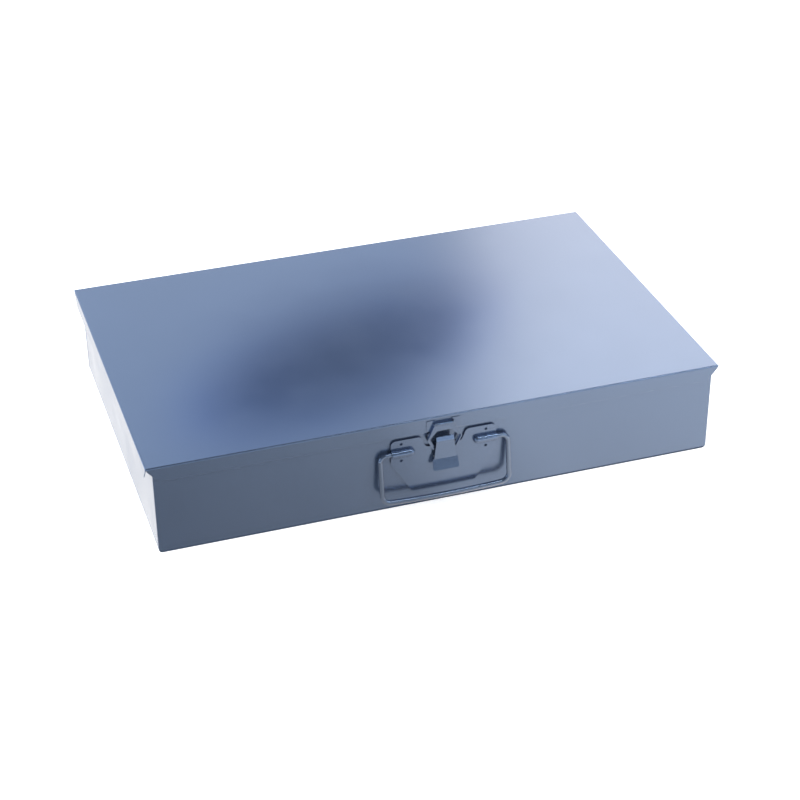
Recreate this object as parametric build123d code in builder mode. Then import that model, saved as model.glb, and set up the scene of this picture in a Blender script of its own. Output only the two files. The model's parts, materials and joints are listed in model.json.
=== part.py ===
from build123d import *
import os

# Steel compartment box with a hinged lid, a snap catch and a wire bail handle.
# Millimetres. The origin is the centre of the body's bottom face.
# The front faces -Y, the long side runs along X and +Z is up.

os.makedirs("parts", exist_ok=True)

# Overall sizes
body_width = 446.8
body_depth = 283.6
box_height = 76.2

# Sheet metal
sheet = 0.8
seat_gap = 0.3
skirt_gap = 0.65
lid_side_overhang = 5.2
skirt_height = 12.7
lid_bend = 1.2
mitre_run = 9.5
mitre_start = 1.2

# Body wrap: bottom and both ends, with flanges behind the front and back walls
floor_bend = 3.0
front_corner_bend = 1.2
rear_corner_bend = 2.4
corner_flange = 10.0
floor_flange = 8.0
floor_flange_setback = 14.0
rim_roll_radius = 2.1
rim_end_setback = 6.0
hem_height = 6.0
hem_setback = 6.0
hem_crown = 0.35
hem_clearance = 1.0

# Dividers
row_count = 3
column_count = 4
divider_clearance = 6.3
divider_foot = 9.0
end_tab = 8.0
end_tab_inset = 12.0
tab_height = 8.0
tab_play = 0.3
outer_tab_heights = (20.0, 50.0)
middle_tab_heights = (35.0,)
divider_corner_radius = 6.0
hem_lap = 1.0

# Weld tacks in the two open rear corner seams
tack_radius = 1.1
tack_inset = 0.9
tack_length = 9.0
tack_end = 0.6
tack_height = 34.0

# Continuous hinge behind the back wall
hinge_pin_radius = 1.2
hinge_running_gap = 0.05
leaf = 0.8
hinge_axis_drop = 15.9
hinge_end_margin = 7.5
pin_chamfer = 0.3
knuckle_count = 17
knuckle_gap = 0.3
leaf_height = 11.5
leaf_notch = 0.6

# Front fittings: a drop is measured down from the lid's lower edge, a rise up from it.
# Handle plate, held off the front wall by its dimples and its bottom lip
plate = 0.9
plate_gap = 0.9
ear_half_width = 42.2
ear_top_drop = 2.7
ear_inner = 18.2
dip_half_width = 14.4
dip_drop = 12.3
ear_bottom_drop = 22.5
plate_foot_half_width = 24.0
plate_foot_drop = 52.5
plate_corner = 4.0
sleeve_inner_end = 23.6
dimple_offset = 7.4
dimple_place = 34.0
dimple_radius = 1.2
dimple_rim = 1.8
dimple_wall = 0.4

# Wire bail
wire_radius = 1.95
wire_play = 0.3
bail_axis_drop = 13.3
bail_standoff = 3.0
bail_half_width = 51.4
bail_drop = 38.9
bail_tilt = 8.8
bail_bow = 2.3
bail_top_bend = 5.0
bail_bottom_bend = 7.0

# Catch tongue: a rocking strip with a thumb tab, a leaning lip and a pivot pin
tongue = 0.8
pivot_drop = 21.0
pivot_standoff = 1.35
catch_pin_radius = 0.6
catch_pin_end = 0.3
tongue_lug = 0.8
tongue_lug_outside = 8.3
tongue_lug_radius = 1.0
tab_drop = 31.3
tab_kick = 2.95
tab_half = 10.5
tab_top_half = 9.9
tab_corner = 1.7
crease_drop = 22.7
crease_half = 8.8
crease_step = 0.4
crease_play = 1.55
crease_bend = 0.8
neck_drop = 7.1
neck_half = 7.1
neck_play = 1.75
neck_bend = 1.0
lip_drop = 4.0
lip_play = 0.85
lip_corner = 1.2

# Ears that are bent out of the handle plate for the tongue's pivot pin
pivot_ear = 0.9
pivot_ear_outside = 7.1
pivot_ear_radius = 1.25

# Leaf spring behind the thumb tab
spring_leaf = 0.5
spring_half_width = 5.0
spring_foot_drop = 32.0
spring_bend_drop = 27.5
spring_bend = 1.5
spring_tip_drop = 1.4

# Hasp bracket on the lid's front edge, with a rolled knuckle
bracket = 0.6
bracket_half_width = 13.8
bracket_bottom_rise = 0.8
bracket_top_rise = 9.9
bracket_corner = 1.2
bracket_knuckle_half = 6.3
knuckle_standoff = 0.4
knuckle_side_gap = 0.4
hasp_pin_radius = 0.5
hasp_pin_rise = 6.9
hasp_pin_end = 0.5
hasp_pin_chamfer = 0.2

# Hasp loop: a six-sided frame with raised rims
loop = 0.9
loop_play = 0.4
loop_ear_half = 7.3
loop_ear_rise = 1.7
loop_wide_half = 13.9
loop_wide_drop = 5.6
loop_foot_half = 8.2
loop_foot_drop = 17.0
loop_arm = 2.4
loop_foot_bar = 3.0
loop_bar_rise = 0.8
loop_bar_gap = 0.4
loop_window_half = 5.6
loop_rim = 0.9
loop_rim_rise = 1.4
loop_rim_drop = 14.0

# Places worked out from the sizes above
half_width = body_width / 2
half_depth = body_depth / 2
wall_top = box_height - sheet - seat_gap
inner_half_width = half_width - sheet
inner_half_depth = half_depth - sheet
front_face = -half_depth
barrel_radius = hinge_pin_radius + hinge_running_gap + leaf
hinge_y = half_depth + barrel_radius
lid_half_width = half_width + lid_side_overhang
lid_front = front_face - skirt_gap - sheet
lid_back = hinge_y + barrel_radius + sheet
lid_depth = lid_back - lid_front
lid_middle = (lid_front + lid_back) / 2
skirt_bottom = box_height - skirt_height
row_pitch = 2 * inner_half_depth / row_count
column_pitch = 2 * inner_half_width / column_count
divider_top = wall_top - divider_clearance
divider_height = divider_top - sheet
hinge_axis_height = box_height - hinge_axis_drop
hinge_length = body_width - 2 * hinge_end_margin
knuckle_pitch = hinge_length / knuckle_count
plate_back = front_face - plate_gap
plate_face = plate_back - plate
bail_axis_y = front_face - bail_standoff
bail_axis_height = skirt_bottom - bail_axis_drop
bail_bow_bend = (bail_half_width - 2 * bail_bottom_bend) * bail_half_width / bail_bow
pivot_y = plate_face - pivot_standoff
pivot_height = skirt_bottom - pivot_drop
bracket_face = lid_front - bracket
bracket_knuckle_radius = hasp_pin_radius + hinge_running_gap + bracket
hasp_pin_y = bracket_face - knuckle_standoff - bracket_knuckle_radius
hasp_pin_height = skirt_bottom + hasp_pin_rise
loop_back = bracket_face - loop_play
loop_face = loop_back - loop

# Body wrap
flange_top = wall_top - hem_height - hem_clearance
roll_centre_x = inner_half_width + rim_roll_radius
roll_centre_z = wall_top - rim_roll_radius

with BuildPart() as body_wrap:
    # Bottom and ends, bent up with a generous radius
    with BuildSketch(Plane.XZ.offset(rear_corner_bend - inner_half_depth)) as wrap_profile:
        with Locations((0, (roll_centre_z + sheet) / 2)):
            Rectangle(body_width, roll_centre_z + sheet)
        fillet(wrap_profile.vertices().group_by(Axis.Y)[0], floor_bend)
        offset(amount=-sheet, mode=Mode.SUBTRACT)
        with Locations((0, roll_centre_z + sheet / 2)):
            Rectangle(body_width, sheet, mode=Mode.SUBTRACT)
    extrude(amount=2 * inner_half_depth - rear_corner_bend - front_corner_bend)
    # Corner flanges turned in behind the front and back walls
    with BuildSketch(Plane.XY.offset(floor_bend)) as corner_profile:
        Rectangle(body_width, 2 * inner_half_depth)
        fillet(corner_profile.vertices().group_by(Axis.Y)[0], front_corner_bend)
        fillet(corner_profile.vertices().group_by(Axis.Y)[-1], rear_corner_bend)
        offset(amount=-sheet, mode=Mode.SUBTRACT)
        Rectangle(2 * (half_width - corner_flange), body_depth, mode=Mode.SUBTRACT)
    extrude(amount=flange_top - floor_bend)
    # Floor flanges turned up behind the front and back walls
    with BuildSketch(Plane.YZ.offset(floor_flange_setback - half_width)) as floor_profile:
        with Locations((0, (floor_flange + sheet) / 2)):
            Rectangle(2 * inner_half_depth, floor_flange + sheet)
        fillet(floor_profile.vertices().group_by(Axis.Y)[0], front_corner_bend)
        offset(amount=-sheet, mode=Mode.SUBTRACT)
        with Locations((0, floor_flange + sheet / 2)):
            Rectangle(body_depth, sheet, mode=Mode.SUBTRACT)
    extrude(amount=body_width - 2 * floor_flange_setback)
    # Rolled rims along the tops of both ends, curled outwards
    with BuildSketch(Plane.XZ.offset(rim_end_setback - inner_half_depth)):
        for side in (-1, 1):
            with Locations((side * roll_centre_x, roll_centre_z)):
                Circle(rim_roll_radius)
                Circle(rim_roll_radius - sheet, mode=Mode.SUBTRACT)
            quarter = rim_roll_radius - sheet
            with Locations((side * (roll_centre_x - quarter / 2), roll_centre_z - rim_roll_radius / 2)):
                Rectangle(quarter, rim_roll_radius, mode=Mode.SUBTRACT)
    extrude(amount=2 * (inner_half_depth - rim_end_setback))
body_wrap.part.label = "body_wrap"


def long_wall(outer_face, inward):
    """Front or back wall: a flat panel with its top edge hemmed inwards."""
    with BuildPart() as wall:
        with BuildSketch(Plane.XZ.offset(-outer_face)) as panel:
            with Locations((0, wall_top / 2)):
                Rectangle(body_width, wall_top)
            fillet(panel.vertices().group_by(Axis.Y)[0], floor_bend)
        extrude(amount=-inward * sheet)
        with BuildSketch(Plane.YZ.offset(hem_setback - half_width)):
            hem_middle = outer_face + inward * (sheet + sheet / 2)
            with Locations((hem_middle, wall_top - hem_height / 2)):
                Rectangle(sheet, hem_height)
        extrude(amount=body_width - 2 * hem_setback)
        crown = wall.edges().filter_by(Axis.X).group_by(Axis.Z)[-1].sort_by(SortBy.LENGTH)[-2:]
        fillet(crown, hem_crown)
    return wall.part


front_wall = long_wall(front_face, 1)
front_wall.label = "front_wall"
back_wall = long_wall(half_depth, -1)
back_wall.label = "back_wall"


# Dividers: two long ones across the width, and short ones between them
long_divider_places = [row_pitch * (row - row_count / 2) for row in range(1, row_count)]
column_places = [column_pitch * (column - column_count / 2) for column in range(1, column_count)]


def tab_slots(heights):
    """Slots through a long divider for the tabs of the short ones."""
    for place in column_places:
        for height in heights:
            with Locations((place, height)):
                Rectangle(sheet + 2 * tab_play, tab_height + 2 * tab_play, mode=Mode.SUBTRACT)


def long_divider(middle):
    """Panel along X, welded to both ends by its end tabs, with a hemmed top."""
    panel_height = divider_height + hem_height - hem_lap
    with BuildPart() as divider:
        with BuildSketch(Plane.XZ.offset(-middle - sheet / 2)):
            with Locations((0, sheet + panel_height / 2)):
                Rectangle(2 * inner_half_width, panel_height)
            with Locations((0, sheet)):
                for side in (-1, 1):
                    with Locations((side * inner_half_width, 0)):
                        Circle(floor_bend, mode=Mode.SUBTRACT)
            tab_slots(outer_tab_heights + middle_tab_heights)
        extrude(amount=sheet)
        for side in (-1, 1):
            with Locations((side * (inner_half_width - sheet / 2), middle + end_tab / 2, divider_top / 2)):
                Box(sheet, end_tab, divider_top - 2 * end_tab_inset)
        with Locations((0, middle + sheet, sheet + panel_height - hem_height / 2)):
            Box(2 * (inner_half_width - end_tab), sheet, hem_height)
    return divider.part


def short_divider(place, low, high, tabs, foot_side):
    """Panel along Y between two walls. Its tabs fill slots in the long dividers."""
    with BuildPart() as divider:
        with BuildSketch(Plane.YZ.offset(place - sheet / 2)) as panel:
            with Locations(((low + high) / 2, sheet + divider_height / 2)):
                Rectangle(high - low, divider_height)
            fillet(panel.vertices().group_by(Axis.Y)[-1], divider_corner_radius)
            if foot_side:
                foot_end = low if foot_side < 0 else high
                with Locations((foot_end, sheet)):
                    Circle(divider_foot, mode=Mode.SUBTRACT)
            for height in tabs:
                for end, outward in ((low, -1), (high, 1)):
                    if outward != foot_side:
                        with Locations((end + outward * sheet / 2, height)):
                            Rectangle(sheet, tab_height)
        extrude(amount=sheet)
        if foot_side:
            weld_end = low + sheet / 2 if foot_side < 0 else high - sheet / 2
            with Locations((place + end_tab / 2 - sheet / 2, weld_end, divider_top / 2)):
                Box(end_tab, sheet, divider_top - 2 * end_tab_inset)
    return divider.part


dividers = {}
for name, middle in zip(("front", "rear"), long_divider_places):
    dividers[f"long_divider_{name}"] = long_divider(middle)

near_faces = [middle - sheet / 2 for middle in long_divider_places]
far_faces = [middle + sheet / 2 for middle in long_divider_places]
rows = {
    "front": (-inner_half_depth, near_faces[0], outer_tab_heights, -1),
    "middle": (far_faces[0], near_faces[1], middle_tab_heights, 0),
    "rear": (far_faces[1], inner_half_depth, outer_tab_heights, 1),
}
for row, (low, high, tabs, foot_side) in rows.items():
    for column, place in zip(("left", "centre", "right"), column_places):
        dividers[f"cross_divider_{row}_{column}"] = short_divider(place, low, high, tabs, foot_side)
for name, divider in dividers.items():
    divider.label = name

# Weld tacks, one in each rear corner seam
with BuildPart() as weld_tacks:
    for side in (-1, 1):
        with Locations((side * (half_width - tack_inset), inner_half_depth - tack_inset, tack_height)):
            Cylinder(tack_radius, tack_length)
    chamfer(weld_tacks.edges().filter_by(GeomType.CIRCLE), tack_end)
weld_tacks.part.label = "weld_tacks"

# Continuous hinge
strip_start = barrel_radius + leaf_notch


def hinge_leaf(toward, rise, first_knuckle):
    """One leaf: a strip on the wall and every second knuckle around the pin."""
    leaf_y = hinge_y + toward * (barrel_radius - leaf / 2)
    with BuildPart() as hinge:
        strip_middle = hinge_axis_height + rise * (strip_start + leaf_height / 2)
        with Locations((0, leaf_y, strip_middle)):
            Box(hinge_length, leaf, leaf_height)
        for knuckle in range(first_knuckle, knuckle_count, 2):
            start = -hinge_length / 2 + knuckle * knuckle_pitch + knuckle_gap
            with BuildSketch(Plane.YZ.offset(start)):
                with Locations((hinge_y, hinge_axis_height)):
                    Circle(barrel_radius)
                with Locations((leaf_y, hinge_axis_height + rise * strip_start / 2)):
                    Rectangle(leaf, strip_start)
                with Locations((hinge_y, hinge_axis_height)):
                    Circle(barrel_radius - leaf, mode=Mode.SUBTRACT)
            extrude(amount=knuckle_pitch - 2 * knuckle_gap)
    return hinge.part


hinge_leaf_body = hinge_leaf(-1, -1, 0)
hinge_leaf_body.label = "hinge_leaf_body"
hinge_leaf_lid = hinge_leaf(1, 1, 1)
hinge_leaf_lid.label = "hinge_leaf_lid"

with BuildPart() as hinge_pin:
    with BuildSketch(Plane.YZ.offset(-hinge_length / 2)):
        with Locations((hinge_y, hinge_axis_height)):
            Circle(hinge_pin_radius)
    extrude(amount=hinge_length)
    chamfer(hinge_pin.edges().filter_by(GeomType.CIRCLE), pin_chamfer)
hinge_pin.part.label = "hinge_pin"

# Lid: one sheet with four turned-down edges and open, mitred corners
cut_margin = 1.0


def mitre_cut(plane, corner, inward):
    """Triangle that cuts one end of a turned-down edge, in that edge's own plane."""
    mitre_top = box_height - mitre_start
    with BuildSketch(plane) as cut:
        with BuildLine():
            Polyline(
                (corner - inward * cut_margin, mitre_top),
                (corner, mitre_top),
                (corner + inward * mitre_run, skirt_bottom),
                (corner + inward * mitre_run, skirt_bottom - cut_margin),
                (corner - inward * cut_margin, skirt_bottom - cut_margin),
                close=True,
            )
        make_face()
    return cut.sketch


with BuildPart() as lid:
    with Locations((0, lid_middle, box_height - skirt_height / 2)):
        Box(2 * lid_half_width, lid_depth, skirt_height)
    fillet(lid.faces().sort_by(Axis.Z)[-1].edges(), lid_bend)
    offset(amount=-sheet, openings=lid.faces().sort_by(Axis.Z)[0])
    for side in (-1, 1):
        for start in (lid_front + lid_bend, lid_back + cut_margin):
            cut = mitre_cut(Plane.XZ.offset(-start), side * lid_half_width, -side)
            extrude(cut, amount=lid_bend + cut_margin, mode=Mode.SUBTRACT)
    for start in (-lid_half_width - cut_margin, lid_half_width - lid_bend):
        for corner, inward in ((lid_front, 1), (lid_back, -1)):
            cut = mitre_cut(Plane.YZ.offset(start), corner, inward)
            extrude(cut, amount=lid_bend + cut_margin, mode=Mode.SUBTRACT)
lid.part.label = "lid"


def both_halves(points):
    """The points of the right half of an outline, followed by their mirror images."""
    return points + [(-x, z) for x, z in reversed(points)]


# Handle plate: two ears with half-round sleeves for the bail, and two ears for the pivot pin
sleeve_radius = wire_radius + wire_play + plate
bore_radius = wire_radius + wire_play
sleeve_round = sleeve_inner_end + sleeve_radius
sleeve_length = ear_half_width - sleeve_round
bore_end = sleeve_round - wire_play
bore_length = ear_half_width - bore_end
sleeve_root = plate_back - bail_axis_y
ear_top = skirt_bottom - ear_top_drop
plate_foot = skirt_bottom - plate_foot_drop
plate_half = [
    (dip_half_width, skirt_bottom - dip_drop),
    (ear_inner, ear_top),
    (ear_half_width, ear_top),
    (ear_half_width, skirt_bottom - ear_bottom_drop),
    (plate_foot_half_width, plate_foot),
]
pivot_slot_half = pivot_ear_outside - pivot_ear

with BuildPart() as handle_plate:
    with BuildSketch(Plane.XZ.offset(-plate_back)) as plate_outline:
        with BuildLine():
            Polyline(*both_halves(plate_half), close=True)
        make_face()
        fillet(plate_outline.vertices(), plate_corner)
        with Locations((0, pivot_height)):
            Rectangle(2 * pivot_slot_half, 2 * pivot_ear_radius, mode=Mode.SUBTRACT)
    extrude(amount=plate)
    # Each sleeve is a half-round bulge with a domed inner end, hollow behind
    root_middle = (plate_back + bail_axis_y) / 2
    for side in (-1, 1):
        middle = side * (ear_half_width + sleeve_round) / 2
        with Locations((middle, bail_axis_y, bail_axis_height)):
            Cylinder(sleeve_radius, sleeve_length, rotation=(0, 90, 0))
        with Locations((middle, root_middle, bail_axis_height)):
            Box(sleeve_length, sleeve_root, 2 * sleeve_radius)
        with Locations((side * sleeve_round, bail_axis_y, bail_axis_height)):
            Sphere(sleeve_radius)
        with Locations((side * sleeve_round, root_middle, bail_axis_height)):
            Cylinder(sleeve_radius, sleeve_root, rotation=(90, 0, 0))
    for side in (-1, 1):
        middle = side * (ear_half_width + bore_end) / 2
        with Locations((middle, bail_axis_y, bail_axis_height)):
            Cylinder(bore_radius, bore_length, rotation=(0, 90, 0), mode=Mode.SUBTRACT)
        with Locations((middle, root_middle, bail_axis_height)):
            Box(bore_length, sleeve_root, 2 * bore_radius, mode=Mode.SUBTRACT)
    # The sleeves stop at the plate's back
    with Locations((0, plate_back + sleeve_radius, bail_axis_height)):
        Box(body_width, 2 * sleeve_radius, 2 * sleeve_radius, mode=Mode.SUBTRACT)
    # Spot-weld dimples above and below each sleeve, pressed back to the wall
    for side in (-1, 1):
        for rise in (-dimple_offset, dimple_offset):
            with Locations((side * dimple_place, plate_back + plate_gap / 2, bail_axis_height + rise)):
                Cone(dimple_rim, dimple_radius, plate_gap, rotation=(-90, 0, 0))
            dent_middle = plate_face + (plate + plate_gap - dimple_wall) / 2
            with Locations((side * dimple_place, dent_middle, bail_axis_height + rise)):
                Cone(
                    dimple_radius,
                    dimple_radius - dimple_wall,
                    plate + plate_gap - dimple_wall,
                    rotation=(-90, 0, 0),
                    mode=Mode.SUBTRACT,
                )
    # Lip along the bottom, turned back to the wall
    with Locations((0, plate_back + plate_gap / 2, plate_foot + plate / 2)):
        Box(2 * (plate_foot_half_width - plate_corner), plate_gap, plate)
    # Ears for the tongue's pivot pin
    for side in (-1, 1):
        with BuildSketch(Plane.YZ.offset(side * (pivot_ear_outside - pivot_ear / 2) - pivot_ear / 2)):
            with Locations(((plate_back + pivot_y) / 2, pivot_height)):
                Rectangle(plate_back - pivot_y, 2 * pivot_ear_radius)
            with Locations((pivot_y, pivot_height)):
                Circle(pivot_ear_radius)
                Circle(catch_pin_radius + hinge_running_gap, mode=Mode.SUBTRACT)
        extrude(amount=pivot_ear)
handle_plate.part.label = "handle_plate"

# Wire bail, its bottom bar bowed down and its two ends turned in to the sleeves
bail_plane = Plane(
    origin=(0, bail_axis_y, bail_axis_height),
    x_dir=(1, 0, 0),
    z_dir=Vector(0, -1, 0).rotate(Axis.X, -bail_tilt),
)
with BuildPart() as bail_handle:
    with BuildLine(bail_plane) as bail_path:
        FilletPolyline(
            (-sleeve_round, 0),
            (-bail_half_width, 0),
            (-bail_half_width, -bail_drop),
            (0, -bail_drop - bail_bow),
            (bail_half_width, -bail_drop),
            (bail_half_width, 0),
            (sleeve_round, 0),
            radius=[bail_top_bend, bail_bottom_bend, bail_bow_bend, bail_bottom_bend, bail_top_bend],
        )
    with BuildSketch(Plane(origin=bail_path.line @ 0, z_dir=bail_path.line % 0)):
        Circle(wire_radius)
    sweep(path=bail_path.line)
bail_handle.part.label = "bail_handle"

# Catch tongue: the strip's side view, cut to its front outline, with two lugs for the pin
crease_y = loop_face - crease_play - tongue / 2
neck_y = loop_face - neck_play - tongue / 2
lip_y = loop_face - lip_play - tongue / 2
tab_y = crease_y - tab_kick
tab_bottom = skirt_bottom - tab_drop
crease_height = skirt_bottom - crease_drop
neck_height = skirt_bottom - neck_drop
lip_height = skirt_bottom - lip_drop
tongue_half = [
    (tab_half, tab_bottom),
    (tab_top_half, crease_height),
    (crease_half, crease_height + crease_step),
    (neck_half, neck_height),
    (neck_half, lip_height + tongue / 2),
]
with BuildPart() as catch_tongue:
    with BuildSketch(Plane.YZ.offset(-tab_half)):
        with BuildLine():
            FilletPolyline(
                (tab_y, tab_bottom),
                (crease_y, crease_height),
                (neck_y, neck_height),
                (lip_y, lip_height),
                radius=[crease_bend, neck_bend],
            )
        trace(line_width=tongue)
        with Locations((lip_y, lip_height)):
            Circle(tongue / 2)
    extrude(amount=2 * tab_half)
    with BuildSketch(Plane.XZ.offset(-front_face)) as tongue_outline:
        with BuildLine():
            Polyline(*both_halves(tongue_half), close=True)
        make_face()
        fillet(tongue_outline.vertices().group_by(Axis.Y)[0], tab_corner)
        fillet(tongue_outline.vertices().group_by(Axis.Y)[-1], lip_corner)
    extrude(amount=front_face - tab_y + tongue, mode=Mode.INTERSECT)
    for side in (-1, 1):
        with BuildSketch(Plane.YZ.offset(side * (tongue_lug_outside - tongue_lug / 2) - tongue_lug / 2)):
            with Locations(((pivot_y + crease_y) / 2, pivot_height)):
                Rectangle(pivot_y - crease_y, 2 * tongue_lug_radius)
            with Locations((pivot_y, pivot_height)):
                Circle(tongue_lug_radius)
                Circle(catch_pin_radius + hinge_running_gap, mode=Mode.SUBTRACT)
        extrude(amount=tongue_lug)
catch_tongue.part.label = "catch_tongue"

# Pivot pin through the plate's ears and the tongue's lugs
with BuildPart() as catch_pin:
    with Locations((0, pivot_y, pivot_height)):
        Cylinder(catch_pin_radius, 2 * (tongue_lug_outside + catch_pin_end), rotation=(0, 90, 0))
catch_pin.part.label = "catch_pin"

# Leaf spring: its foot lies on the handle plate and its tip reaches up behind the tab
spring_foot_y = plate_face - spring_leaf / 2
with BuildPart() as catch_spring:
    with BuildSketch(Plane.YZ.offset(-spring_half_width)):
        with BuildLine():
            FilletPolyline(
                (spring_foot_y, skirt_bottom - spring_foot_drop),
                (spring_foot_y, skirt_bottom - spring_bend_drop),
                (crease_y + (tongue + spring_leaf) / 2, crease_height - spring_tip_drop),
                radius=spring_bend,
            )
        trace(line_width=spring_leaf)
    extrude(amount=2 * spring_half_width)
catch_spring.part.label = "catch_spring"

# Hasp bracket: a plate on the lid's front edge, its centre bent out and rolled round the pin
bracket_bottom = skirt_bottom + bracket_bottom_rise
bracket_top = skirt_bottom + bracket_top_rise
knuckle_top = hasp_pin_height + bracket_knuckle_radius
with BuildPart() as hasp_bracket:
    with BuildSketch(Plane.XZ.offset(-lid_front)):
        with Locations((0, (bracket_bottom + bracket_top) / 2)):
            RectangleRounded(2 * bracket_half_width, bracket_top - bracket_bottom, bracket_corner)
        with Locations((0, (knuckle_top + bracket_top) / 2)):
            Rectangle(
                2 * (bracket_knuckle_half + knuckle_side_gap),
                bracket_top - knuckle_top,
                mode=Mode.SUBTRACT,
            )
    extrude(amount=bracket)
    with BuildSketch(Plane.YZ.offset(-bracket_knuckle_half)):
        with Locations(((lid_front + hasp_pin_y) / 2, knuckle_top - bracket / 2)):
            Rectangle(lid_front - hasp_pin_y, bracket)
        with Locations((hasp_pin_y, hasp_pin_height)):
            Circle(bracket_knuckle_radius)
            Circle(hasp_pin_radius + hinge_running_gap, mode=Mode.SUBTRACT)
    extrude(amount=2 * bracket_knuckle_half)
hasp_bracket.part.label = "hasp_bracket"

# Hasp loop: its two arms end in ears beside the bracket's knuckle
loop_ear_top = hasp_pin_height + loop_ear_rise
loop_wide_height = skirt_bottom - loop_wide_drop
loop_foot = skirt_bottom - loop_foot_drop
loop_bar_top = hasp_pin_height - bracket_knuckle_radius - loop_bar_gap
loop_rim_low = skirt_bottom - loop_rim_drop
notch_half = bracket_knuckle_half + knuckle_side_gap
loop_half = [
    (loop_ear_half, loop_ear_top),
    (loop_wide_half, loop_wide_height),
    (loop_foot_half, loop_foot),
]
window_half = [
    (loop_window_half, skirt_bottom + loop_bar_rise),
    (loop_wide_half - loop_arm, loop_wide_height),
    (loop_foot_half - loop_rim, loop_foot + loop_foot_bar),
]
with BuildPart() as hasp_loop:
    with BuildSketch(Plane.XZ.offset(-loop_back)):
        with BuildLine():
            Polyline(*both_halves(loop_half), close=True)
        make_face()
        with BuildLine():
            Polyline(*both_halves(window_half), close=True)
        make_face(mode=Mode.SUBTRACT)
    extrude(amount=loop)
    # Rims along both arms, up to the ears
    with BuildSketch(Plane.XZ.offset(-loop_face)):
        with BuildLine():
            Polyline(*both_halves(loop_half), close=True)
        make_face()
        offset(amount=-loop_rim, mode=Mode.SUBTRACT)
        with Locations((0, (loop_foot + loop_rim_low) / 2)):
            Rectangle(4 * loop_wide_half, loop_rim_low - loop_foot, mode=Mode.SUBTRACT)
    extrude(amount=loop_rim_rise)
    # Room for the bracket's knuckle between the ears, and the pin's hole
    with Locations((0, hasp_pin_y, (loop_bar_top + loop_ear_top) / 2)):
        Box(2 * notch_half, 4 * loop_rim_rise, loop_ear_top - loop_bar_top, mode=Mode.SUBTRACT)
    with Locations((0, hasp_pin_y, hasp_pin_height)):
        pin_hole = hasp_pin_radius + hinge_running_gap
        Cylinder(pin_hole, 2 * loop_wide_half, rotation=(0, 90, 0), mode=Mode.SUBTRACT)
hasp_loop.part.label = "hasp_loop"

# Hasp pin, from one ear's outer side to the other's
loop_slope = (loop_wide_half - loop_ear_half) / (loop_ear_top - loop_wide_height)
loop_outside = loop_ear_half + loop_slope * (loop_ear_rise + hasp_pin_radius)
with BuildPart() as hasp_pin:
    with Locations((0, hasp_pin_y, hasp_pin_height)):
        Cylinder(hasp_pin_radius, 2 * (loop_outside + hasp_pin_end), rotation=(0, 90, 0))
    chamfer(hasp_pin.edges().filter_by(GeomType.CIRCLE), hasp_pin_chamfer)
hasp_pin.part.label = "hasp_pin"

solids = [
    body_wrap.part,
    front_wall,
    back_wall,
    *dividers.values(),
    weld_tacks.part,
    hinge_leaf_body,
    hinge_leaf_lid,
    hinge_pin.part,
    lid.part,
    handle_plate.part,
    bail_handle.part,
    catch_tongue.part,
    catch_pin.part,
    catch_spring.part,
    hasp_bracket.part,
    hasp_pin.part,
    hasp_loop.part,
]
for solid in solids:
    export_step(solid, f"parts/{solid.label}.step")
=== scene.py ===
import json
import math

import bpy
from mathutils import Matrix, Vector


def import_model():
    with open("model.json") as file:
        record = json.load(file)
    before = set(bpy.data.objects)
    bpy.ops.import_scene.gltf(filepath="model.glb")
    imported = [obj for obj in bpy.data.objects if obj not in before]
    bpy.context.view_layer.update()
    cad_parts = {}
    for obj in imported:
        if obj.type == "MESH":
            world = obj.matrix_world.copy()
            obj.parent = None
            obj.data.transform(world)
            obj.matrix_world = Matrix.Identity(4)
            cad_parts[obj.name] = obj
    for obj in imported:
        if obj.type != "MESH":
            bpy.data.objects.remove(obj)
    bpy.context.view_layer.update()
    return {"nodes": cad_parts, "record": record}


# Steel compartment box: finishes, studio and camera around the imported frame.
# Metres and degrees. The front faces -Y, +X is to the right and +Z is up.

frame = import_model()
nodes = frame["nodes"]

# Camera, fitted to the box's corners in the photograph
CAMERA_PLACE = (-0.4132, -1.31305, 0.8522)
CAMERA_HEADING = 17.94
CAMERA_DROP = 31.57
CAMERA_ROLL = -0.54
LENS = 87.46
SENSOR = 36.0

# Enamel: a glossy blue-grey coat that mirrors its own tint
ENAMEL = (0.105, 0.160, 0.272)
WIRE_ENAMEL = (0.117, 0.168, 0.266)
# Paler enamel for specks and edges; along the edges it is partly wear and partly a painted highlight
WORN_AND_HIGHLIT_ENAMEL = (0.30, 0.34, 0.41)
ENAMEL_METALLIC = 0.8
ENAMEL_IOR = 1.5
DEEP_TONE = 0.93
SPECK_COVER = 0.10
WORN_ROUGHNESS = 0.25

# Heights of the enamel's relief: orange peel, the sheet's waves and the grain of a weld
PEEL = 0.00001
SHEET_SAG = 0.00006
SMALL_SAG = 0.00001
WELD_GRAIN = 0.0002

# Plain steel
STEEL = (0.46, 0.46, 0.45)
SPRING_STEEL = (0.20, 0.21, 0.24)
STAINED = 0.55
BRIGHT = 1.1
STAIN_COVER = 0.5
DRAW_LINE_DEPTH = 0.00001

# Noise scales, in repeats per metre
DRIFT_SCALE = 6.0
SPECK_SCALE = 1400.0
WEAR_AND_HIGHLIGHT_SCALE = 160.0
SMEAR_SCALE = 22.0
SAG_SCALE = 5.0
GRAIN_SCALE = 260.0
PEEL_SCALE = 620.0
STAIN_SCALE = 90.0
DRAW_LINES = (30.0, 4000.0, 4000.0)

# Edges
WELD_DISTANCE = 1e-6
SHARP_ANGLE = 32.0
EDGE_ROUND = 0.00012
# Width and sharpness of the paler edge band, which is partly wear and partly painted highlight
WEAR_AND_HIGHLIGHT_WIDTH = 0.0007
WEAR_AND_HIGHLIGHT_SHARPNESS = 0.25

# Sockets of the colour mix node
MIX_FIRST = 6
MIX_SECOND = 7
MIX_RESULT = 2

# Floor, just under the box
FLOOR_SIZE = 40.0
FLOOR_DROP = 0.0002
FLOOR_GREY = 0.88
FLOOR_GLOW = 0.45
FLOOR_ROUGHNESS = 0.9

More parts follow.
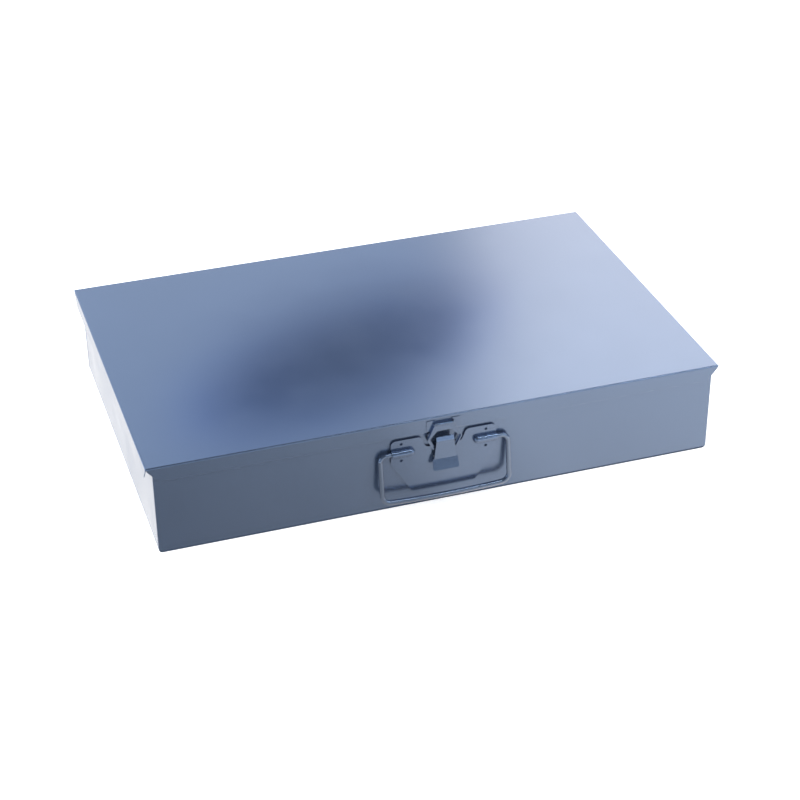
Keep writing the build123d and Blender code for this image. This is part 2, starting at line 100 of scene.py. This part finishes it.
# Room: even light, darker towards the front and the horizon
ROOM_LIGHT = (1.38, 1.40, 1.43)
ROOM_DARK = (0.2, 0.21, 0.22)
DARK_TOWARDS_FRONT = (-0.1, -0.5)
DARK_TOWARDS_HORIZON = (0.45, 0.15)

# Tints of what the gloss mirrors
WARM = (1.0, 0.86, 0.74)
WARM_FLOOR = (1.0, 0.83, 0.68)
WARM_STRIP = (1.0, 0.93, 0.86)
PALE_FLOOR = (1.0, 0.95, 0.88)
DEEP_BLUE = (0.25, 0.64, 1.85)

# Heights of the cards that lie on the floor and hang over the box
CARD_LIFT = 0.0004
SHADE_DROP = 0.0001
FLAG_HEIGHT = 0.25
STRIP_HEIGHT = 0.92
HOOD_HEIGHT = 0.95


# Meshes

def tidy_group():
    """Geometry nodes that join split vertices and shade by angle."""
    group = bpy.data.node_groups.new("join_and_shade", "GeometryNodeTree")
    group.interface.new_socket("Geometry", in_out="INPUT", socket_type="NodeSocketGeometry")
    group.interface.new_socket("Geometry", in_out="OUTPUT", socket_type="NodeSocketGeometry")
    n = group.nodes
    start = n.new("NodeGroupInput")
    end = n.new("NodeGroupOutput")
    forget = n.new("GeometryNodeRemoveAttribute")
    forget.inputs["Name"].default_value = "custom_normal"
    join = n.new("GeometryNodeMergeByDistance")
    join.inputs["Distance"].default_value = WELD_DISTANCE
    smooth_faces = n.new("GeometryNodeSetShadeSmooth")
    smooth_faces.domain = "FACE"
    sharp_edges = n.new("GeometryNodeSetShadeSmooth")
    sharp_edges.domain = "EDGE"
    sharp_edges.inputs["Shade Smooth"].default_value = False
    angle = n.new("GeometryNodeInputMeshEdgeAngle")
    steep = n.new("FunctionNodeCompare")
    steep.operation = "GREATER_THAN"
    steep.inputs[1].default_value = math.radians(SHARP_ANGLE)
    link = group.links.new
    link(start.outputs[0], forget.inputs["Geometry"])
    link(forget.outputs["Geometry"], join.inputs["Geometry"])
    link(join.outputs["Geometry"], smooth_faces.inputs["Geometry"])
    link(smooth_faces.outputs["Geometry"], sharp_edges.inputs["Geometry"])
    link(angle.outputs["Unsigned Angle"], steep.inputs[0])
    link(steep.outputs["Result"], sharp_edges.inputs["Selection"])
    link(sharp_edges.outputs["Geometry"], end.inputs[0])
    return group


def round_edges(obj, group):
    """Gives a node's edges the small radius that paint leaves on cut sheet, and keeps its flats flat."""
    join = obj.modifiers.new("join", "NODES")
    join.node_group = group
    bevel = obj.modifiers.new("edge", "BEVEL")
    bevel.width = EDGE_ROUND
    bevel.segments = 2
    bevel.limit_method = "ANGLE"
    bevel.angle_limit = math.radians(SHARP_ANGLE)
    bevel.harden_normals = True
    bevel.use_clamp_overlap = True
    flat = obj.modifiers.new("flat", "WEIGHTED_NORMAL")
    flat.keep_sharp = True


# Materials

class Tree:
    """Short calls for building a material's nodes."""

    def __init__(self, name):
        self.material = bpy.data.materials.new(name)
        self.material.use_nodes = True
        self.tree = self.material.node_tree
        self.shader = self.tree.nodes["Principled BSDF"]
        self.place = self.new("ShaderNodeTexCoord").outputs["Object"]

    def new(self, kind, **values):
        node = self.tree.nodes.new(kind)
        for key, value in values.items():
            setattr(node, key, value)
        return node

    def link(self, output, socket):
        self.tree.links.new(output, socket)

    def noise(self, scale, detail, stretch=None):
        """Noise in metres of the object's own frame, 0 to 1."""
        node = self.new("ShaderNodeTexNoise")
        node.inputs["Scale"].default_value = scale
        node.inputs["Detail"].default_value = detail
        source = self.place
        if stretch:
            mapping = self.new("ShaderNodeMapping")
            mapping.inputs["Scale"].default_value = stretch
            self.link(source, mapping.inputs["Vector"])
            source = mapping.outputs["Vector"]
        self.link(source, node.inputs["Vector"])
        return node.outputs["Fac"]

    def spread(self, value, low, high, start=0.0, end=1.0):
        """Maps start..end to low..high and stops at both."""
        node = self.new("ShaderNodeMapRange")
        for name, number in zip(("From Min", "From Max", "To Min", "To Max"), (start, end, low, high)):
            node.inputs[name].default_value = number
        self.link(value, node.inputs["Value"])
        return node.outputs["Result"]

    def math(self, operation, first, second):
        """Arithmetic on outputs and numbers."""
        node = self.new("ShaderNodeMath", operation=operation)
        for socket, value in zip(node.inputs, (first, second)):
            if isinstance(value, (int, float)):
                socket.default_value = value
            else:
                self.link(value, socket)
        return node.outputs[0]

    def mix(self, factor, first, second):
        """Colour mix. A colour may be three numbers or an output."""
        node = self.new("ShaderNodeMix", data_type="RGBA")
        self.link(factor, node.inputs["Factor"])
        for socket, value in ((node.inputs[MIX_FIRST], first), (node.inputs[MIX_SECOND], second)):
            if isinstance(value, tuple):
                socket.default_value = (*value, 1)
            else:
                self.link(value, socket)
        return node.outputs[MIX_RESULT]

    def edge(self, radius, sharpness):
        """0 on flat faces, up to 1 along outside and inside edges."""
        bevel = self.new("ShaderNodeBevel", samples=6)
        bevel.inputs["Radius"].default_value = radius
        geometry = self.new("ShaderNodeNewGeometry")
        dot = self.new("ShaderNodeVectorMath", operation="DOT_PRODUCT")
        self.link(bevel.outputs["Normal"], dot.inputs[0])
        self.link(geometry.outputs["Normal"], dot.inputs[1])
        return self.spread(dot.outputs["Value"], 0.0, 1.0, start=1.0, end=1.0 - sharpness)

    def bump(self, height, distance, under=None):
        node = self.new("ShaderNodeBump")
        node.inputs["Distance"].default_value = distance
        self.link(height, node.inputs["Height"])
        if under:
            self.link(under, node.inputs["Normal"])
        return node.outputs["Normal"]


def enamel(name, roughness, wear_and_highlight, colour=ENAMEL, tint=1.0, sag=SHEET_SAG, grain=0.0):
    """Baked enamel on sheet: drifting tone, orange peel, paler edges and a slightly wavy sheet. The paler edges
    are partly wear and partly a painted highlight along the arrises.
    """
    t = Tree(name)
    base = tuple(channel * tint for channel in colour)
    deep = tuple(channel * DEEP_TONE for channel in base)
    drift = t.spread(t.noise(DRIFT_SCALE, 2.0), 0.0, 1.0, start=0.3, end=0.7)
    coat = t.mix(drift, deep, base)
    specks = t.spread(t.noise(SPECK_SCALE, 1.0), 0.0, SPECK_COVER, start=0.62, end=0.80)
    coat = t.mix(specks, coat, WORN_AND_HIGHLIT_ENAMEL)
    patches = t.spread(t.noise(WEAR_AND_HIGHLIGHT_SCALE, 4.0), 0.0, wear_and_highlight, start=0.35, end=0.65)
    # paler edges: partly wear, partly a painted highlight on the arrises
    worn_and_highlit = t.math("MULTIPLY", t.edge(WEAR_AND_HIGHLIGHT_WIDTH, WEAR_AND_HIGHLIGHT_SHARPNESS), patches)
    t.link(t.mix(worn_and_highlit, coat, WORN_AND_HIGHLIT_ENAMEL), t.shader.inputs["Base Color"])
    t.shader.inputs["Metallic"].default_value = ENAMEL_METALLIC
    t.shader.inputs["IOR"].default_value = ENAMEL_IOR
    smears = t.spread(t.noise(SMEAR_SCALE, 5.0), roughness - 0.02, roughness + 0.03, start=0.3, end=0.7)
    dulled = t.math("MULTIPLY", worn_and_highlit, WORN_ROUGHNESS)
    t.link(t.math("ADD", smears, dulled), t.shader.inputs["Roughness"])
    skin = t.bump(t.noise(SAG_SCALE, 1.0), sag)
    if grain:
        skin = t.bump(t.noise(GRAIN_SCALE, 5.0), grain, skin)
    t.link(t.bump(t.noise(PEEL_SCALE, 2.0), PEEL, skin), t.shader.inputs["Normal"])
    return t.material


def drawn_steel(name, colour, roughness):
    """Plain steel with draw lines along X and a few darker stains."""
    t = Tree(name)
    lines = t.noise(1.0, 3.0, stretch=DRAW_LINES)
    stain = t.spread(t.noise(STAIN_SCALE, 4.0), 0.0, STAIN_COVER, start=0.45, end=0.75)
    dark = tuple(channel * STAINED for channel in colour)
    bright = tuple(channel * BRIGHT for channel in colour)
    ground = t.mix(lines, colour, bright)
    t.link(t.mix(stain, ground, dark), t.shader.inputs["Base Color"])
    t.shader.inputs["Metallic"].default_value = 1.0
    t.link(t.spread(lines, roughness - 0.06, roughness + 0.08), t.shader.inputs["Roughness"])
    t.link(t.bump(lines, DRAW_LINE_DEPTH), t.shader.inputs["Normal"])
    return t.material


finishes = {
    # the shell's paler edges are strong enough to paint the highlight on its arrises
    "shell_paint": enamel("shell_enamel", roughness=0.24, wear_and_highlight=0.35),
    "divider_paint": enamel("divider_enamel", roughness=0.31, wear_and_highlight=0.25, tint=0.97),
    "fitting_paint": enamel("fitting_enamel", roughness=0.17, wear_and_highlight=0.3, sag=SMALL_SAG),
    "wire_paint": enamel("wire_enamel", roughness=0.13, wear_and_highlight=0.30, colour=WIRE_ENAMEL, sag=SMALL_SAG),
    "pin_steel": drawn_steel("drawn_steel", STEEL, roughness=0.32),
    "spring_steel": drawn_steel("spring_steel", SPRING_STEEL, roughness=0.28),
}
tack = enamel("tack_enamel", roughness=0.36, wear_and_highlight=0.2, sag=SMALL_SAG, grain=WELD_GRAIN)

group = tidy_group()
slots = {row["node"]: row["material_slot"] for row in frame["record"]["subparts"]}
for name, node in nodes.items():
    material = tack if name == "weld_tacks" else finishes[slots[name]]
    for place in range(len(node.material_slots)):
        node.material_slots[place].material = material
    round_edges(node, group)


# Studio

def face(obj, look_at):
    """Turns a light or a card to a point."""
    toward = Vector(look_at) - obj.location
    obj.rotation_euler = toward.to_track_quat("-Z", "Y").to_euler()


def plane(name, size, place, look_at=None, turn=0.0):
    """A flat stage piece, level and turned by some degrees, or facing a point."""
    mesh = bpy.data.meshes.new(name)
    w, h = size[0] / 2, size[1] / 2
    mesh.from_pydata([(-w, -h, 0), (w, -h, 0), (w, h, 0), (-w, h, 0)], [], [(0, 1, 2, 3)])
    obj = bpy.data.objects.new(name, mesh)
    bpy.context.scene.collection.objects.link(obj)
    obj.location = place
    obj.rotation_euler.z = math.radians(turn)
    if look_at:
        face(obj, look_at)
    return obj


def floor():
    """A pale floor that glows a little, so that the box's shadow stays light."""
    obj = plane("floor", (FLOOR_SIZE, FLOOR_SIZE), (0, 0, -FLOOR_DROP))
    material = bpy.data.materials.new("floor_white")
    material.use_nodes = True
    shader = material.node_tree.nodes["Principled BSDF"]
    shader.inputs["Base Color"].default_value = (FLOOR_GREY, FLOOR_GREY, FLOOR_GREY, 1)
    shader.inputs["Roughness"].default_value = FLOOR_ROUGHNESS
    shader.inputs["Specular IOR Level"].default_value = 0.0
    shader.inputs["Emission Color"].default_value = (1, 1, 1, 1)
    shader.inputs["Emission Strength"].default_value = FLOOR_GLOW
    obj.data.materials.append(material)


def panel(name, size, place, look_at, radiance):
    """A soft studio light that the camera doesn't see."""
    data = bpy.data.lights.new(name, "AREA")
    data.shape = "RECTANGLE"
    data.size, data.size_y = size
    data.energy = radiance * math.pi * size[0] * size[1]
    lamp = bpy.data.objects.new(name, data)
    bpy.context.scene.collection.objects.link(lamp)
    lamp.location = place
    face(lamp, look_at)
    lamp.visible_camera = False


def card(name, size, place, stops, tint=(1, 1, 1), look_at=None, turn=0.0, round_card=False):
    """A reflector that only the box's gloss sees. Its stops are (metres, radiance, cover) along its
    width, or outwards from the middle of a round card. A cover of 0 is clear."""
    obj = plane(name, size, place, look_at, turn)
    obj.visible_camera = False
    obj.visible_diffuse = False
    obj.visible_shadow = False
    obj.visible_transmission = False
    t = Tree(name)
    t.tree.nodes.remove(t.shader)
    if round_card:
        mapping = t.new("ShaderNodeMapping")
        mapping.inputs["Scale"].default_value = (1.0, size[0] / size[1], 0.0)
        t.link(t.place, mapping.inputs["Vector"])
        length = t.new("ShaderNodeVectorMath", operation="LENGTH")
        t.link(mapping.outputs["Vector"], length.inputs[0])
        across = length.outputs["Value"]
    else:
        split = t.new("ShaderNodeSeparateXYZ")
        t.link(t.place, split.inputs[0])
        across = split.outputs["X"]
    first, last = stops[0][0], stops[-1][0]
    brightest = max(stop[1] for stop in stops)
    glow = t.new("ShaderNodeEmission")
    glow.inputs["Strength"].default_value = brightest
    clear = t.new("ShaderNodeBsdfTransparent")
    blend = t.new("ShaderNodeMixShader")
    ramp = t.new("ShaderNodeValToRGB")
    ramp.color_ramp.interpolation = "EASE"
    while len(ramp.color_ramp.elements) < len(stops):
        ramp.color_ramp.elements.new(0.5)
    for element, (metres, radiance, cover) in zip(ramp.color_ramp.elements, stops):
        element.position = (metres - first) / (last - first)
        element.color = (*(radiance / brightest * channel for channel in tint), cover)
    t.link(t.spread(across, 0.0, 1.0, start=first, end=last), ramp.inputs["Fac"])
    t.link(ramp.outputs["Color"], glow.inputs["Color"])
    t.link(ramp.outputs["Alpha"], blend.inputs["Fac"])
    t.link(clear.outputs[0], blend.inputs[1])
    t.link(glow.outputs[0], blend.inputs[2])
    t.link(blend.outputs[0], t.tree.nodes["Material Output"].inputs["Surface"])
    obj.data.materials.append(t.material)


def even(size, radiance):
    """The stops of a card that is the same all over."""
    return [(-size[0] / 2, radiance, 1), (size[0] / 2, radiance, 1)]


def world():
    """Even studio light, with a darker room behind the camera near the horizon."""
    studio = bpy.data.worlds.new("studio")
    bpy.context.scene.world = studio
    studio.use_nodes = True
    nodes = studio.node_tree.nodes
    link = studio.node_tree.links.new
    coords = nodes.new("ShaderNodeTexCoord")
    split = nodes.new("ShaderNodeSeparateXYZ")
    both = nodes.new("ShaderNodeMath")
    both.operation = "MULTIPLY"
    link(coords.outputs["Generated"], split.inputs[0])
    for place, (axis, limits) in enumerate((("Y", DARK_TOWARDS_FRONT), ("Z", DARK_TOWARDS_HORIZON))):
        fade = nodes.new("ShaderNodeMapRange")
        fade.interpolation_type = "SMOOTHSTEP"
        fade.inputs["From Min"].default_value = limits[0]
        fade.inputs["From Max"].default_value = limits[1]
        link(split.outputs[axis], fade.inputs["Value"])
        link(fade.outputs["Result"], both.inputs[place])
    mix = nodes.new("ShaderNodeMix")
    mix.data_type = "RGBA"
    mix.inputs[MIX_FIRST].default_value = (*ROOM_LIGHT, 1)
    mix.inputs[MIX_SECOND].default_value = (*ROOM_DARK, 1)
    link(both.outputs[0], mix.inputs["Factor"])
    link(mix.outputs[MIX_RESULT], nodes["Background"].inputs["Color"])


def lights():
    """Two soft lights: one in front at the right, one low at the left end."""
    panel("front_right", (1.2, 1.0), (1.0, -1.3, 1.0), (0.1, -0.1, 0), 3.0)
    panel("left", (0.7, 0.5), (-0.75, 0.15, 0.27), (0, 0.15, 0.1), 5.0)


def reflectors():
    """What the enamel mirrors, as it shows in the photograph."""
    # bright softbox in the lid's right half
    card(
        "back_right", (1.2, 1.2), (0.80, 0.6, 0.6),
        [(-0.6, 3.75, 1.0), (0.35, 3.75, 1.0), (0.45, 3.4, 1.0), (0.6, 1.5, 0.0)],
        tint=WARM, look_at=(0.80, 0.0, 0.6),
    )
    # dark patch in the middle of the lid
    card(
        "flag", (0.54, 0.255), (0.035, 0.245, FLAG_HEIGHT),
        [(0.0, 0.03, 1.0), (0.112, 0.14, 1.0), (0.25, 1.0, 0.0)],
        tint=DEEP_BLUE, turn=27.0, round_card=True,
    )
    # floor in the front wall, darker at its left end
    card(
        "floor_glow", (1.3, 0.32), (0.05, -0.303, CARD_LIFT),
        [(-0.30, 0.54, 1), (-0.16, 0.75, 1), (-0.08, 1.0, 1), (-0.02, 1.6, 1), (0.06, 2.05, 1), (0.25, 2.3, 1)],
        tint=WARM_FLOOR,
    )
    # painted shade: a dark card that the front wall's gloss mirrors as a dark line along its foot, in place of
    # the contact shadow there
    card(
        "base_shade", (0.028, 0.46), (0, -0.1518, -SHADE_DROP),
        [(-0.014, 0.03, 0.0), (0.0, 0.03, 0.45), (0.009, 0.03, 0.85), (0.014, 0.03, 1.0)],
        turn=90.0,
    )
    # floor in the left end
    left_size = (0.8, 1.0)
    card("left_glow", left_size, (-0.624, 0.35, CARD_LIFT), even(left_size, 1.75), tint=PALE_FLOOR)
    # dark ceiling in the tops of the wire and the sleeves
    hood_size = (3.2, 2.95)
    card("hood", hood_size, (0, -0.725, HOOD_HEIGHT), even(hood_size, 0.16))
    # thin bright line along the wire and the sleeves
    card(
        "strip", (1.1, 0.07), (0.66, -0.52, STRIP_HEIGHT),
        [(-0.55, 8.0, 0.0), (-0.45, 20.0, 1.0), (0.55, 20.0, 1.0)],
        tint=WARM_STRIP,
    )


def camera():
    """The camera at the photograph's place and angle."""
    data = bpy.data.cameras.new("camera")
    eye = bpy.data.objects.new("camera", data)
    bpy.context.scene.collection.objects.link(eye)
    bpy.context.scene.camera = eye
    data.sensor_width = SENSOR
    data.lens = LENS
    heading, drop, roll = (math.radians(a) for a in (CAMERA_HEADING, CAMERA_DROP, CAMERA_ROLL))
    level = Vector((math.sin(heading), math.cos(heading), 0))
    forward = level * math.cos(drop) - Vector((0, 0, math.sin(drop)))
    right = forward.cross(Vector((0, 0, 1))).normalized()
    up = right.cross(forward)
    image_right = right * math.cos(roll) + up * math.sin(roll)
    image_up = up * math.cos(roll) - right * math.sin(roll)
    turn = Matrix((image_right, image_up, -forward)).transposed().to_4x4()
    eye.matrix_world = Matrix.Translation(CAMERA_PLACE) @ turn


floor()
world()
camera()
lights()
reflectors()
bpy.context.scene.view_settings.view_transform = "Standard"
